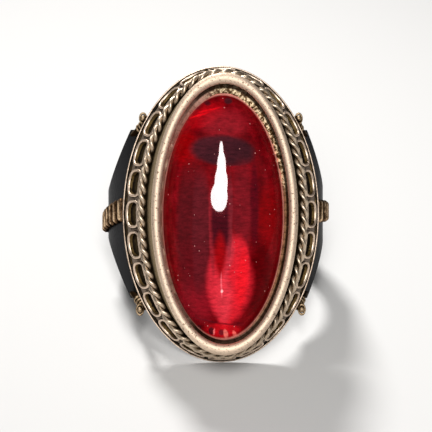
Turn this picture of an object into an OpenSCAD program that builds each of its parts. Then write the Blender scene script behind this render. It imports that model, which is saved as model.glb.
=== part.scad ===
// A cabochon ring: a long oval red stone in a high pierced head, on a band with fan-shaped shoulders.
// The ring lies on its side, as it rests by itself. The floor is z = 0 and the face looks towards -Y and up.
// Each module is written upright: X across the finger, Y along it, Z out through the stone,
// with the middle of the finger hole at the origin. The module lying() puts it into its resting place.

/* [Stone] */
// Width of the stone, across the finger
stone_w = 11.9; // [11.5:0.1:12.3]
// Length of the stone, along the finger
stone_l = 24; // [23.4:0.1:24.6]
// Rise of the dome above the widest line of the stone
dome_h = 4.2; // [3.8:0.1:4.6]
// Depth of the stone below its widest line
stone_back = 1; // [0.8:0.1:1.4]

/* [Head] */
// Height of the head, from the foot of the base wires to the top of the rim
head_h = 7; // [6.6:0.1:7.6]
// Overall width of the head, at the base wires
head_w = 19; // [18.6:0.1:19.6]
// Overall length of the head, at the base wires
head_l = 28.6; // [28.2:0.1:29.2]
// Number of openings round the gallery
openings = 24; // [20:4:28]
// Full turns of the twisted wire round the cup
rope_turns = 33; // [28:1:36]

/* [Finger band] */
// Diameter of the finger hole
finger_d = 18.4; // [18:0.1:18.8]
// Thickness of the band at the shoulders
band_t = 1.45; // [1.3:0.05:1.6]
// How much lower the outside of the band is centred than the finger hole
band_drop = 0.6; // [0.3:0.1:0.7]
// Width of the band at the back of the finger
band_w = 4.4; // [3.4:0.2:5]
// Full width of a shoulder at its widest
shoulder_w = 16.4; // [15:0.2:17]
// Number of ribs in the coil on each shoulder
coil_ribs = 12; // [9:1:13]

/* [Hidden] */

// Finger band, seen along the finger: the outside is a lower circle, cut flat at the back
finger_r = finger_d / 2;
band_r = finger_r + band_t;
outer_r = norm([band_r, band_drop]);
back_z = -band_r;
fan_low = -1;
fan_top = 5.7;
fan_curve = 1.8;
fan_steps = 8;
fan_lip = 0.5;
crown_w = 8;
waist_w = 4.6;
band_reach = band_r + 2;

// Coil of ribs on a shoulder
rib_r = 0.55;
rib_pitch = 5.2;
rib_top = 55.4;
rib_straight = 1.75;
rib_shorter = 0.05;
rib_end = 0.4;
rib_tip_r = 0.25;
rib_centre = outer_r + 0.06;
// The right and the left coil lie a little off the middle, and the left one slants.
// Each row is [place of the first rib along the finger, step to the next rib].
coil_rows = [[0.3, 0], [1.4, -0.2]];

// Levels of the head above its foot
rim_r = 0.43;
rim_spring = head_h - rim_r;
rim_root = head_h - 0.85;
girdle_z = head_h - 2.1;
seat_z = girdle_z - stone_back - 0.08;
ledge_z = 3;
ledge_low = 2.55;
floor_top = 1.05;
floor_low = 0.55;
plate_top = 0.6;
plate_low = 0.2;
foot_z = finger_r;

// Half sizes of the ovals, each [across, along]
stone_half = [stone_w, stone_l] / 2;
head_half = [head_w, head_l] / 2;
well_half = stone_half + [0.14, 0.32];
seat_half = well_half - [0.6, 0.6];
rim_in = well_half - [0.03, 0.07];
rim_out = well_half + [0.83, 0.99];
ledge_half = head_half - [1.6, 0.77];
plate_half = head_half - [0.5, 0.5];
rope_half = head_half - [1.75, 0.88];

// The stone lies a little low in its seat
stone_shift = [-0.05, -0.2];

// Twisted wire: two strands side by side
strand_r = 0.225;
strand_gap = 0.2;
rope_steps = 6;
rope_points = 8;
rope_z = ledge_z + 0.37;

function mix(a, b, share) = a + (b - a) * share;

// Equal steps of length round an oval: each row is [length so far, angle]
function oval_at(half, turn) = [half[0] * cos(turn), half[1] * sin(turn)];
length_steps = 360;
function step_length(half, i) = norm(oval_at(half, i + 1) - oval_at(half, i));
function length_rows(half) = [
    for (i = 0, run = 0; i <= length_steps; run = run + step_length(half, i), i = i + 1) [run, i]
];
gallery_mid = mix(ledge_half, head_half, 0.5);
length_table = length_rows(gallery_mid);
length_whole = length_table[length_steps][0];
function turn_at(share) = 360 * floor(share) + lookup((share - floor(share)) * length_whole, length_table);

// A solid of oval sections stacked from a flat bottom to a flat top.
// Each row is [half width, half length, height].
function level(half, z) = [half[0], half[1], z];
function ring_at(row, turns) = [for (turn = turns) concat(oval_at(row, turn), row[2])];
function strip(low, high, count) = [
    for (i = [0:count - 1])
        let (j = (i + 1) % count)
            [low + i, high + i, high + j, low + j]
];
function first_cap(start, count) = [[for (i = [0:count - 1]) start + i]];
function last_cap(start, count) = [[for (i = [count - 1:-1:0]) start + i]];
module stack(rows, around) {
    turns = [for (i = [0:around - 1]) 360 * i / around];
    last = len(rows) - 1;
    polyhedron(
        [for (row = rows) each ring_at(row, turns)],
        concat(
            first_cap(0, around),
            [for (k = [0:last - 1]) each strip(k * around, (k + 1) * around, around)],
            last_cap(last * around, around)
        )
    );
}

// The head is one skin of rings, all with the same columns, which runs from the middle of the
// cup's underside out, down the back of the gallery, round the base wires, up the front of the
// gallery, over the ledge, up the side wall, over the rim and the serrated row, and down to the floor.
columns = 4 * openings;
column_turns = [for (i = [0:columns - 1]) turn_at((i - 2) / columns)];
gallery_t = 0.5;
gallery_top = level(ledge_half, ledge_z - 0.1);
gallery_foot = level(head_half - [0.44, 0.44], 0.66);

// Underside of the cup, up to the back of the gallery
under_rows = [
    level(seat_half + [0.5, 0.5], floor_low),
    level(well_half + [0.4, 0.3], ledge_low)
];
// Two thin base wires, the inner one higher: each row is [inset from the outside of the head, height]
base_rows = [
    for (row = [[0.7, 0.1], [0.2, 0], [0, 0.2], [0.2, 0.4], [0.26, 0.6]])
        level(head_half - [row[0], row[0]], row[1])
];
// Ledge, side wall and half-round rim
wall_rows = [
    level(well_half + [1.2, 0.7], ledge_z),
    level(well_half + [0.72, 0.85], rim_root)
];
rim_rows = [
    for (a = [0:36:180]) level(mix(rim_out, rim_in, (1 - cos(a)) / 2), rim_spring + rim_r * sin(a))
];
// Serrated row: teeth that lean in over the dome, with a notch at every second column
tooth_low = head_h - 1.15;
tooth_high = head_h - 0.7;
tooth_rise = 0.1;
notch = 0.17;
tip_high = level(stone_half - [0.18, 0.33], tooth_high);
tip_low = level(stone_half - [0.02, 0.02], tooth_low);
function tooth_ring(tip) = [
    for (i = [0:columns - 1])
        let (back = notch * (i % 2), half = [tip[0] + back, tip[1] + back])
            concat(oval_at(half, column_turns[i]), tip[2])
];
// Well, seat and floor of the cup
well_rows = [
    level(well_half, seat_z),
    level(seat_half, seat_z - 0.1),
    level(seat_half, floor_top)
];

// The gallery is made of equal cells, each pierced by one opening with a raised outline.
// A place on the wall is [share of a cell, share of the way down].
gallery_bulge = 0.12;
ridge_up = 0.14;
// Edge of a cell, clockwise from its upper left corner
cell_edge = [
    [-0.5, 0], [-0.25, 0], [0, 0], [0.25, 0], [0.5, 0], [0.5, 0.5],
    [0.5, 1], [0.25, 1], [0, 1], [-0.25, 1], [-0.5, 1], [-0.5, 0.5]
];
// Edge of an opening, point for point: flat above, round below
hole_edge = [
    [-0.34, 0.16], [-0.18, 0.13], [0, 0.13], [0.18, 0.13], [0.34, 0.16], [0.39, 0.48],
    [0.31, 0.76], [0.17, 0.87], [0, 0.9], [-0.17, 0.87], [-0.31, 0.76], [-0.39, 0.48]
];
edge_steps = len(cell_edge);
function wall_at(cell, place, out) =
    let (
        turn = turn_at((cell + place[0]) / openings),
        row = mix(gallery_top, gallery_foot, place[1]),
        side = [cos(turn) / row[0], sin(turn) / row[1]],
        swell = gallery_bulge * 4 * place[1] * (1 - place[1])
    )
    concat(oval_at(row, turn) + side / norm(side) * (out + swell), row[2]);
function wall_ring(down, out) = [for (i = [0:columns - 1]) wall_at(0, [(i - 2) / 4, down], out)];
function cell_loop(cell, share, out) = [
    for (k = [0:edge_steps - 1]) wall_at(cell, mix(hole_edge[k], cell_edge[k], share), out)
];
function cell_points(cell) = concat(
    [wall_at(cell, [-0.5, 0.5], 0), wall_at(cell, [-0.5, 0.5], -gallery_t)],
    cell_loop(cell, 0.45, 0),
    cell_loop(cell, 0.22, ridge_up),
    cell_loop(cell, 0, 0),
    cell_loop(cell, 0, -gallery_t)
);

inner_rings = [
    for (row = under_rows) ring_at(row, column_turns),
    wall_ring(0, -gallery_t),
    wall_ring(1, -gallery_t)
];
outer_rings = [
    for (row = base_rows) ring_at(row, column_turns),
    wall_ring(1, 0),
    wall_ring(0, 0),
    for (row = wall_rows) ring_at(row, column_turns),
    for (row = rim_rows) ring_at(row, column_turns),
    ring_at(level(well_half, tooth_high + tooth_rise), column_turns),
    tooth_ring(tip_high),
    tooth_ring(tip_low),
    ring_at(level(well_half, tooth_low - tooth_rise), column_turns),
    for (row = well_rows) ring_at(row, column_turns)
];
rings = concat(inner_rings, outer_rings);
// Rings at the top and bottom of the gallery, at its back and its front
back_top = len(under_rows);
back_foot = back_top + 1;
front_foot = back_foot + 1 + len(base_rows);
front_top = front_foot + 1;
cell_start = len(rings) * columns;
per_cell = 2 + 4 * edge_steps;

// Number of the point at place k of a cell's edge: face 0 is the front of the wall, 1 is its back
function edge_point(cell, k, face) =
    let (
        next = k == 4 || k == 5 || k == 6,
        at = next ? (cell + 1) % openings : cell,
        slot = k < 4 ? k : k > 6 && k < 10 ? 10 - k : 0,
        ring = k < 5 ? [front_top, back_top][face] : [front_foot, back_foot][face]
    )
    k == 5 || k == 11 ? cell_start + at * per_cell + face : ring * columns + 4 * at + slot;
function loop_point(cell, loop, k) = cell_start + cell * per_cell + 2 + loop * edge_steps + k;
function cell_faces(cell) = [
    for (k = [0:edge_steps - 1])
        let (n = (k + 1) % edge_steps)
            each [
                [
                    edge_point(cell, k, 0), edge_point(cell, n, 0),
                    loop_point(cell, 0, n), loop_point(cell, 0, k)
                ],
                for (loop = [0:2])
                    [
                        loop_point(cell, loop, k), loop_point(cell, loop, n),
                        loop_point(cell, loop + 1, n), loop_point(cell, loop + 1, k)
                    ],
                [
                    loop_point(cell, 3, k), loop_point(cell, 3, n),
                    edge_point(cell, n, 1), edge_point(cell, k, 1)
                ]
            ]
];
module cup_and_gallery() {
    polyhedron(
        concat([for (ring = rings) each ring], [for (cell = [0:openings - 1]) each cell_points(cell)]),
        concat(
            first_cap(0, columns),
            [
                for (k = [0:len(rings) - 2])
                    if (k != back_top && k != front_foot)
                        each strip(k * columns, (k + 1) * columns, columns)
            ],
            [for (cell = [0:openings - 1]) each cell_faces(cell)],
            last_cap((len(rings) - 1) * columns, columns)
        )
    );
}

// Foot plate: closes the head behind the openings, from the base wires in under the cup
module foot_plate() {
    stack([level(plate_half, plate_low), level(plate_half, plate_top)], columns);
}

// Twisted wire: the outline of two strands, turned as it goes round
rope_count = rope_turns * rope_steps;
function rope_outline(a) =
    strand_gap * abs(cos(a)) + sqrt(strand_r * strand_r - pow(strand_gap * sin(a), 2));
function rope_section(i) =
    let (
        turn = turn_at(i / rope_count),
        side = [cos(turn) / rope_half[0], sin(turn) / rope_half[1]],
        out = side / norm(side)
    )
    [
        for (k = [0:rope_points - 1])
            let (a = 360 * k / rope_points, r = rope_outline(a), b = a + 360 * i / rope_steps)
                concat(oval_at(rope_half, turn) + out * r * cos(b), rope_z + r * sin(b))
    ];
module twisted_wire() {
    polyhedron(
        [for (i = [0:rope_count - 1]) each rope_section(i)],
        [
            for (i = [0:rope_count - 1])
                for (k = [0:rope_points - 1])
                    let (j = (i + 1) % rope_count, m = (k + 1) % rope_points)
                        [for (p = [[i, k], [i, m], [j, m], [j, k]]) p[0] * rope_points + p[1]]
        ]
    );
}

// Corner scrolls: a short wire from each corner of a shoulder up to a bead under the base wires.
// Each row is [bead across, bead along].
scroll_beads = [[7.8, -9.2], [7.5, 9.2]];
scroll_r = 0.36;
scroll_inset = 0.7;
scroll_in = [0.4, 0.2];
bead_r = 0.44;
bead_up = 0.1;
root_r = band_r - band_t / 2;
root_turn = asin((fan_top - 0.2) / band_r);
module corner_scrolls() {
    for (flip = [0, 1], bead = scroll_beads)
        mirror([flip, 0, 0]) {
            hull() {
                translate([root_r * cos(root_turn), 0, root_r * sin(root_turn) - foot_z])
                    translate([0, sign(bead[1]) * (shoulder_w / 2 - scroll_inset), 0])
                        sphere(r = scroll_r, $fn = 8);
                translate([bead[0] - scroll_in[0], bead[1] - sign(bead[1]) * scroll_in[1], bead_up])
                    sphere(r = scroll_r, $fn = 8);
            }
            translate([bead[0], bead[1], bead_up])
                sphere(r = bead_r, $fn = 10);
        }
}

// Head: everything that stands on the foot, drawn to its stated length
module head() {
    color([0.66, 0.6, 0.51])
        translate([0, 0, foot_z])
            resize([0, head_l, 0])
                union() {
                    cup_and_gallery();
                    foot_plate();
                    twisted_wire();
                    corner_scrolls();
                }
}

// Outline of the band seen from its side: narrow at the back, a fan at each shoulder, a crown under the cup
function fan_half(share) = mix(waist_w, shoulder_w, pow(share, fan_curve)) / 2;
fan_side = [for (i = [0:fan_steps]) [fan_half(i / fan_steps), mix(fan_low, fan_top, i / fan_steps)]];
band_side = concat(
    [[band_w / 2, back_z], [band_w / 2, -band_r / 2]],
    fan_side,
    [[shoulder_w / 2, fan_top + fan_lip], [crown_w / 2, foot_z], [crown_w / 2, band_reach]]
);
band_outline = concat(band_side, [for (i = [len(band_side) - 1:-1:0]) [-band_side[i][0], band_side[i][1]]]);

module band_body() {
    difference() {
        intersection() {
            translate([0, 0, -band_drop])
                rotate([90, 0, 0])
                    cylinder(r = outer_r, h = shoulder_w + 2, center = true, $fn = 96);
            rotate([90, 0, 90])
                linear_extrude(height = 2 * band_reach, center = true)
                    polygon(band_outline);
        }
        rotate([90, 0, 0])
            cylinder(r = finger_r, h = shoulder_w + 4, center = true, $fn = 96);
    }
}

module rib(straight) {
    rotate([90, 0, 0])
        union() {
            cylinder(r = rib_r, h = straight, center = true, $fn = 24);
            for (end = [0, 1])
                mirror([0, 0, end])
                    translate([0, 0, straight / 2])
                        cylinder(r1 = rib_r, r2 = rib_tip_r, h = rib_end, $fn = 24);
        }
}

// Ribbed coil along the middle of both shoulders, each rib a little shorter than the one above
module coils() {
    translate([0, 0, -band_drop])
        for (side = [0, 1])
            mirror([side, 0, 0])
                for (i = [0:coil_ribs - 1])
                    rotate([0, i * rib_pitch - rib_top, 0])
                        translate([rib_centre, coil_rows[side][0] + coil_rows[side][1] * i, 0])
                            rib(rib_straight - i * rib_shorter);
}

module band() {
    color([0.6, 0.6, 0.6])
        band_body();
    color([0.6, 0.45, 0.25])
        coils();
}

// Resting place: the head's foot and the edge of the band's back share the floor, and the origin
// lies on the floor, midway between the rim's foremost place and the back of the band
wire_r = 0.2;
lean_run = head_half[1] - wire_r - band_w / 2;
lean_rise = foot_z + wire_r - back_z;
lean = acos(-wire_r / norm([lean_run, lean_rise])) - atan2(lean_rise, lean_run);
rim_reach = max([for (row = rim_rows) (foot_z + row[2]) * cos(lean) + row[1] * sin(lean)]);
back_reach = band_w / 2 * sin(lean) - back_z * cos(lean);
lie_forward = (rim_reach - back_reach) / 2;
lie_up = band_w / 2 * cos(lean) - back_z * sin(lean);
module lying() {
    translate([0, lie_forward, lie_up])
        rotate([90 - lean, 0, 0])
            children();
}

module setting() {
    lying()
        union() {
            band();
            head();
        }
}

// Stone: a flat back, a short wall up to the widest line, and a dome.
// Each row is [half width, half length, height above the foot].
dome_steps = 9;
stone_around = 60;
dome_rows = [
    for (i = [0:dome_steps - 1])
        let (a = 90 * i / dome_steps)
            level(stone_half * cos(a), girdle_z + dome_h * sin(a))
];
stone_rows = concat(
    [
        level(stone_half - [0.7, 0.7], girdle_z - stone_back),
        level(stone_half, girdle_z - stone_back / 3)
    ],
    dome_rows,
    [level(stone_half * 0.06, girdle_z + dome_h)]
);
module stone() {
    color([0.62, 0.03, 0.08])
        lying()
            translate([stone_shift[0], stone_shift[1], foot_z])
                stack(stone_rows, stone_around);
}

setting();
stone();
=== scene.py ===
# %% [markdown]
# A long red cabochon in a pierced head.
#
# The ring lies on its side on a pale floor, as it rests by itself, and the camera looks straight
# into the stone. Each piece is modelled upright, with X across the finger, Y along it and Z out
# through the stone, and the middle of the finger hole at the origin. A last step lays it down.

import math

import bmesh
import bpy
from mathutils import Matrix, Vector
from mathutils.bvhtree import BVHTree


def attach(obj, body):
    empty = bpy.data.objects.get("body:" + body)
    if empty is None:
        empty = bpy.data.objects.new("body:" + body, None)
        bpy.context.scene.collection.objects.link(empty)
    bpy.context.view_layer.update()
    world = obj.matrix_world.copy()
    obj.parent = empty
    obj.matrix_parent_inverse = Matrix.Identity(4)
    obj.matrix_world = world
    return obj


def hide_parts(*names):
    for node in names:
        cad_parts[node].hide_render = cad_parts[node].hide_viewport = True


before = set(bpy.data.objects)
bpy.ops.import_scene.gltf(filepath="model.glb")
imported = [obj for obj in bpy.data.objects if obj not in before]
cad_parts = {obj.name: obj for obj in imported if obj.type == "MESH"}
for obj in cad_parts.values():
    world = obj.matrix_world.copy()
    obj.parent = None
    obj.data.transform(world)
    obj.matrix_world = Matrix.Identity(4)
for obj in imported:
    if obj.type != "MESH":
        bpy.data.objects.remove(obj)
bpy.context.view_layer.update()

# %% [markdown]
# A jeweller works in millimetres, so all sizes here are in millimetres too, and `mm` turns them
# into Blender's metres. The ovals are half sizes, across the finger and along it, and heights are
# counted from the foot of the head. They are the same values as in the part's source.

# %% Sizes in millimetres
mm = 0.001
finger_r = 9.2
band_r = 10.65
band_drop = 0.6
outer_r = math.hypot(band_r, band_drop)
band_w = 4.4
shoulder_w = 16.4
foot = finger_r
head_h = 7.0
head_half = (9.5, 14.3)
stone_half = (5.95, 12.0)
stone_shift = (-0.05, -0.2)
dome_h = 4.2
stone_back = 1.0
girdle = head_h - 2.1
openings = 24
rope_turns = 33
coil_ribs = 12


def grown(half, across, along=None):
    """An oval's half sizes, made larger by so much across and along."""
    return (half[0] + across, half[1] + (across if along is None else along))


def mix(a, b, share):
    return a + (b - a) * share


def mixed(a, b, share):
    return tuple(mix(p, q, share) for p, q in zip(a, b))


well_half = grown(stone_half, 0.14, 0.32)
seat_half = grown(well_half, -0.6)
rim_in = grown(well_half, -0.03, -0.07)
rim_out = grown(well_half, 0.83, 0.99)
ledge_half = grown(head_half, -1.6, -0.77)
rope_half = grown(head_half, -1.75, -0.88)
rim_r = 0.43
rim_spring = head_h - rim_r
ledge = 3.0
seat = girdle - stone_back - 0.08

# %% [markdown]
# The ring rests on the end of its base wires and on the flat back of the band. The angle follows
# from those two places, and the origin lies on the floor under the middle of the ring's box.

# %% The resting place
wire_r = 0.2
run = head_half[1] - wire_r - band_w / 2
rise = foot + wire_r + band_r
lean = math.acos(-wire_r / math.hypot(run, rise)) - math.atan2(rise, run)
lean_cos, lean_sin = math.cos(lean), math.sin(lean)


def rim_row(turn):
    """One oval of the half-round rim: turn 0 is its outer edge and 180 its inner edge."""
    half = mixed(rim_out, rim_in, (1 - math.cos(math.radians(turn))) / 2)
    return (*half, rim_spring + rim_r * math.sin(math.radians(turn)))


rim_ovals = [rim_row(turn) for turn in range(0, 181, 36)]
rim_reach = max((foot + z) * lean_cos + along * lean_sin for _, along, z in rim_ovals)
back_reach = band_w / 2 * lean_sin + band_r * lean_cos
lie_forward = (rim_reach - back_reach) / 2
lie_up = band_w / 2 * lean_cos + band_r * lean_sin
lying = Matrix.Translation((0, lie_forward * mm, lie_up * mm)) @ Matrix.Rotation(math.pi / 2 - lean, 4, "X")
print("leans back by", round(math.degrees(lean), 2), "degrees")

# %% [markdown]
# Blender's operators act on whatever is selected, so each step begins by picking its piece alone.


# %% Picking
def deselect():
    if bpy.context.mode != "OBJECT":
        bpy.ops.object.mode_set(mode="OBJECT")
    bpy.ops.object.select_all(action="DESELECT")


def pick(*pieces):
    deselect()
    for piece in pieces:
        piece.select_set(True)
    bpy.context.view_layer.objects.active = pieces[0]


def shape(piece):
    """Opens one piece in edit mode with everything selected."""
    pick(piece)
    bpy.ops.object.mode_set(mode="EDIT")
    bpy.ops.mesh.select_all(action="SELECT")


def named(name):
    piece = bpy.context.object
    piece.name = name
    piece.data.name = name
    return piece


def modify(piece, kind, **settings):
    """Adds a modifier with its settings and applies it."""
    pick(piece)
    bpy.ops.object.modifier_add(type=kind)
    modifier = piece.modifiers[-1]
    for key, value in settings.items():
        setattr(modifier, key, value)
    bpy.ops.object.modifier_apply(modifier=modifier.name)
    return piece


def clean(piece, angle=38):
    """Merges doubled points, turns the faces outwards and smooths all but the sharp edges."""
    shape(piece)
    bpy.ops.mesh.remove_doubles(threshold=2e-6)
    bpy.ops.mesh.normals_make_consistent(inside=False)
    bpy.ops.object.mode_set(mode="OBJECT")
    bpy.ops.object.shade_smooth_by_angle(angle=math.radians(angle))
    return piece


def joined(name, pieces):
    pick(*pieces)
    bpy.ops.object.join()
    return named(name)


def apply_place(piece):
    pick(piece)
    bpy.ops.object.transform_apply(location=True, rotation=True, scale=True)
    return piece


# %% [markdown]
# The whole head is made of ovals that lie one above the other, as a jeweller bends strips round
# an oval mandrel. Spinning a profile, as on a lathe, would give circles only. So a circle is
# stretched into the first oval, and its edge is extruded again and again, each time scaled to the
# next oval and lifted to the next height.


# %% Stacked ovals
def stacked_ovals(name, rows, around=192, closed=False):
    """A skin through ovals, closed with flat ends or onto its own start."""
    deselect()
    bpy.ops.mesh.primitive_circle_add(vertices=around, radius=1, fill_type="NOTHING", location=(0, 0, 0))
    piece = named(name)
    shape(piece)
    across, along, height = rows[0]
    bpy.ops.transform.resize(value=(across * mm, along * mm, 1), center_override=(0, 0, 0))
    bpy.ops.transform.translate(value=(0, 0, (foot + height) * mm))
    for last, row in zip(rows, rows[1:] + (rows[:1] if closed else [])):
        bpy.ops.mesh.extrude_region_move()
        scale = (row[0] / last[0], row[1] / last[1], 1)
        bpy.ops.transform.resize(value=scale, center_override=(0, 0, 0))
        bpy.ops.transform.translate(value=(0, 0, (row[2] - last[2]) * mm))
    bpy.ops.mesh.select_all(action="SELECT")
    if closed:
        bpy.ops.mesh.remove_doubles(threshold=2e-6)
    else:
        bpy.ops.mesh.fill_holes(sides=0)
    return clean(piece)


def finer(rows, steps):
    """The same rows with more between each two, so that tarnish and painted shade can be stored on them."""
    more = [mixed(a, b, k / steps) for a, b in zip(rows, rows[1:]) for k in range(steps)]
    return more + [rows[-1]]


# %% [markdown]
# The cup holds the stone. Its tall side wall stands on a ledge, and its inside is a well with a
# seat for the stone and a floor below. It could be cut from a block with booleans, but as one skin,
# from the underside round to the floor, it keeps even faces that take the tarnish and painted shade
# well.

# %% Cup
wall_top = head_h - 0.8
cup_rows = [
    # half across and half along, height above the foot: underside, ledge, wall, well and floor
    (*grown(seat_half, 0.5), 0.55),
    (*grown(well_half, 0.4, 0.3), 2.5),
    (*grown(ledge_half, -0.7), 2.6),
    (*grown(ledge_half, -0.12), 2.66),
    (*ledge_half, 2.8),
    (*ledge_half, 2.92),
    (*grown(ledge_half, -0.1), ledge),
    (*grown(well_half, 1.2, 0.7), ledge),
    (*grown(well_half, 0.72, 0.85), wall_top),
    (*well_half, wall_top),
    (*well_half, seat),
    (*seat_half, seat - 0.1),
    (*seat_half, 1.05),
]
cup = stacked_ovals("cup", finer(cup_rows, 3))
print("cup:", len(cup.data.polygons), "faces")

# %% [markdown]
# The rim is a half-round wire that finishes the top of the wall. Its section is a half circle,
# closed below by a short root that goes down into the wall. A curve with a round section would
# have no such root, so the rim is a stack of ovals too, closed onto its own start.

# %% Rim
rim_root = head_h - 1.0
rim_rows = [rim_row(turn) for turn in range(0, 181, 12)]
rim_rows += [(*grown(rim_in, 0.05), rim_root), (*grown(rim_out, -0.13), rim_root)]
rim = stacked_ovals("rim", rim_rows, around=240, closed=True)
print("rim:", len(rim.data.polygons), "faces")

# %% [markdown]
# What goes round the head in equal steps is modelled once, flat on the bench, as a strip that runs
# along X. Then the strip is rolled round its oval. `turn_at` finds the angle on an oval after an
# equal share of its length, because equal angles would crowd the steps together at the sides.


# %% Rolling a strip round an oval
def oval_lengths(half, steps=720):
    lengths = [0.0]
    for i in range(steps):
        a, b = math.tau * i / steps, math.tau * (i + 1) / steps
        step = math.hypot(half[0] * (math.cos(b) - math.cos(a)), half[1] * (math.sin(b) - math.sin(a)))
        lengths.append(lengths[-1] + step)
    return lengths


def turn_at(share, lengths):
    whole, place = divmod(share, 1)
    target = place * lengths[-1]
    low, high = 0, len(lengths) - 1
    while high - low > 1:
        middle = (low + high) // 2
        low, high = (middle, high) if lengths[middle] <= target else (low, middle)
    part = (target - lengths[low]) / (lengths[high] - lengths[low])
    return math.tau * (whole + (low + part) / (len(lengths) - 1))


def outward(half, turn):
    side = Vector((math.cos(turn) / half[0], math.sin(turn) / half[1], 0))
    return side.normalized()


def roll(piece, place):
    """Moves every point (along the strip, across it, out of it) to the place that is worked out."""
    for point in piece.data.vertices:
        point.co = place(*point.co) * mm
    return clean(piece)


def repeated(piece, count, step):
    """Copies a piece along X, each copy merged with its neighbour."""
    return modify(
        piece, "ARRAY", count=count, use_relative_offset=False, use_constant_offset=True,
        constant_offset_displace=(step, 0, 0), use_merge_vertices=True, merge_threshold=1e-4,
    )


# %% [markdown]
# The gallery is a flaring wall between the base wires and the ledge, pierced by 24 openings that
# are flat above and round below. Sawing them with booleans would leave ragged edges, so one cell of
# the wall is drawn flat: its square edge and the edge of its opening, twelve points each, bridged.
# Copies make the strip, which is rolled round the head, given its thickness and rounded by
# subdivision. The sheet's cut edges and inside get the second slot, for a darker finish.

# %% One cell of the gallery
gallery_top = (*ledge_half, 2.9)
gallery_foot = (*grown(head_half, -0.44), 0.66)
gallery_lengths = oval_lengths(mixed(ledge_half, head_half, 0.5))
gallery_bulge = 0.12
gallery_t = 0.3
cell_edge = [
    # share of the cell's width from its middle, share of the way down
    (-0.5, 0), (-0.25, 0), (0, 0), (0.25, 0), (0.5, 0), (0.5, 0.5),
    (0.5, 1), (0.25, 1), (0, 1), (-0.25, 1), (-0.5, 1), (-0.5, 0.5),
]
hole_edge = [
    (-0.34, 0.16), (-0.18, 0.13), (0, 0.13), (0.18, 0.13), (0.34, 0.16), (0.39, 0.48),
    (0.31, 0.76), (0.17, 0.87), (0, 0.9), (-0.17, 0.87), (-0.31, 0.76), (-0.39, 0.48),
]


def on_gallery(along, down, out):
    """A place on the gallery: cells along, share of the way down, and millimetres out of it."""
    turn = turn_at(along / openings, gallery_lengths)
    across_half, along_half, height = mixed(gallery_top, gallery_foot, down)
    swell = gallery_bulge * 4 * down * (1 - down)
    spot = Vector((across_half * math.cos(turn), along_half * math.sin(turn), foot + height))
    return spot + outward((across_half, along_half), turn) * (out + swell)


def make_slots(piece, count):
    """Makes room for several finishes, so that faces can be given one by its number."""
    for _ in range(count):
        piece.data.materials.append(None)


def flat_loop(name, points):
    """A closed loop of edges through flat points: a circle whose points are moved one by one."""
    deselect()
    bpy.ops.mesh.primitive_circle_add(
        vertices=len(points), radius=1, fill_type="NOTHING", location=(0, 0, 0)
    )
    loop = named(name)
    for vertex, point in zip(loop.data.vertices, points):
        vertex.co = (*point, 0)
    return loop


cell = joined("gallery", [flat_loop("cell_edge", cell_edge), flat_loop("hole_edge", hole_edge)])
shape(cell)
bpy.ops.mesh.bridge_edge_loops(number_cuts=1, interpolation="LINEAR", smoothness=0)
gallery = repeated(cell, openings, 1.0)
roll(gallery, on_gallery)
make_slots(gallery, 2)
modify(
    gallery, "SOLIDIFY", thickness=gallery_t * mm, offset=-1, material_offset=1, material_offset_rim=1,
    edge_crease_outer=0.6, edge_crease_inner=0.6,
)
modify(gallery, "SUBSURF", levels=2, render_levels=2)
clean(gallery)
print("gallery:", len(gallery.data.polygons), "faces")

# %% [markdown]
# Each opening has a raised outline, as if a thin wire were laid round it. A bump in the material
# would throw no shadow, so it is a real wire. The loop of the opening's edge becomes a curve with
# smooth handles, gets a round section, and turns back into a mesh, which is copied and rolled in the
# same way.


# %% Outlines of the openings
def round_wire(loop, radius, steps=5, sides=3):
    """Turns a loop of edges into a smooth round wire."""
    pick(loop)
    bpy.ops.object.convert(target="CURVE")
    bpy.ops.object.mode_set(mode="EDIT")
    bpy.ops.curve.select_all(action="SELECT")
    bpy.ops.curve.spline_type_set(type="BEZIER")
    bpy.ops.curve.handle_type_set(type="AUTOMATIC")
    bpy.ops.object.mode_set(mode="OBJECT")
    loop.data.dimensions = "3D"
    loop.data.bevel_depth = radius
    loop.data.bevel_resolution = sides
    loop.data.resolution_u = steps
    bpy.ops.object.convert(target="MESH")
    return bpy.context.object


cell_w = gallery_lengths[-1] / openings
cell_h = 2.4
wider, taller = 1.05, 1.09
outline_wire, outline_proud = 0.12, 0.05
outline_edge = [(x * wider * cell_w, (0.5 + (y - 0.5) * taller) * cell_h) for x, y in hole_edge]
outline = round_wire(flat_loop("outlines", outline_edge), outline_wire)
outlines = repeated(outline, openings, cell_w)
roll(outlines, lambda x, y, z: on_gallery(x / cell_w, y / cell_h, z + outline_proud))
print("outlines:", len(outlines.data.polygons), "faces, cell", round(cell_w, 2), "x", round(cell_h, 2), "mm")

# %% [markdown]
# Two thin wires run round the foot of the head, the inner one a little higher, on a narrow strip.
# A torus can't be stretched to an oval without flattening its section, but a circle curve can be
# stretched first and given its round section after. A thin foot plate closes the head behind its
# openings. It has ovals in between, so that the tarnish and painted shade in its corners can be
# stored on them.


# %% Base wires
def oval_wire(name, half, height, radius):
    deselect()
    bpy.ops.curve.primitive_bezier_circle_add(radius=1, location=(0, 0, 0))
    bpy.ops.transform.resize(value=(half[0] * mm, half[1] * mm, 1))
    bpy.ops.transform.translate(value=(0, 0, (foot + height) * mm))
    wire = apply_place(named(name))
    wire.data.bevel_depth = radius * mm
    wire.data.bevel_resolution = 3
    wire.data.resolution_u = 48
    bpy.ops.object.convert(target="MESH")
    return clean(named(name))


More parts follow.
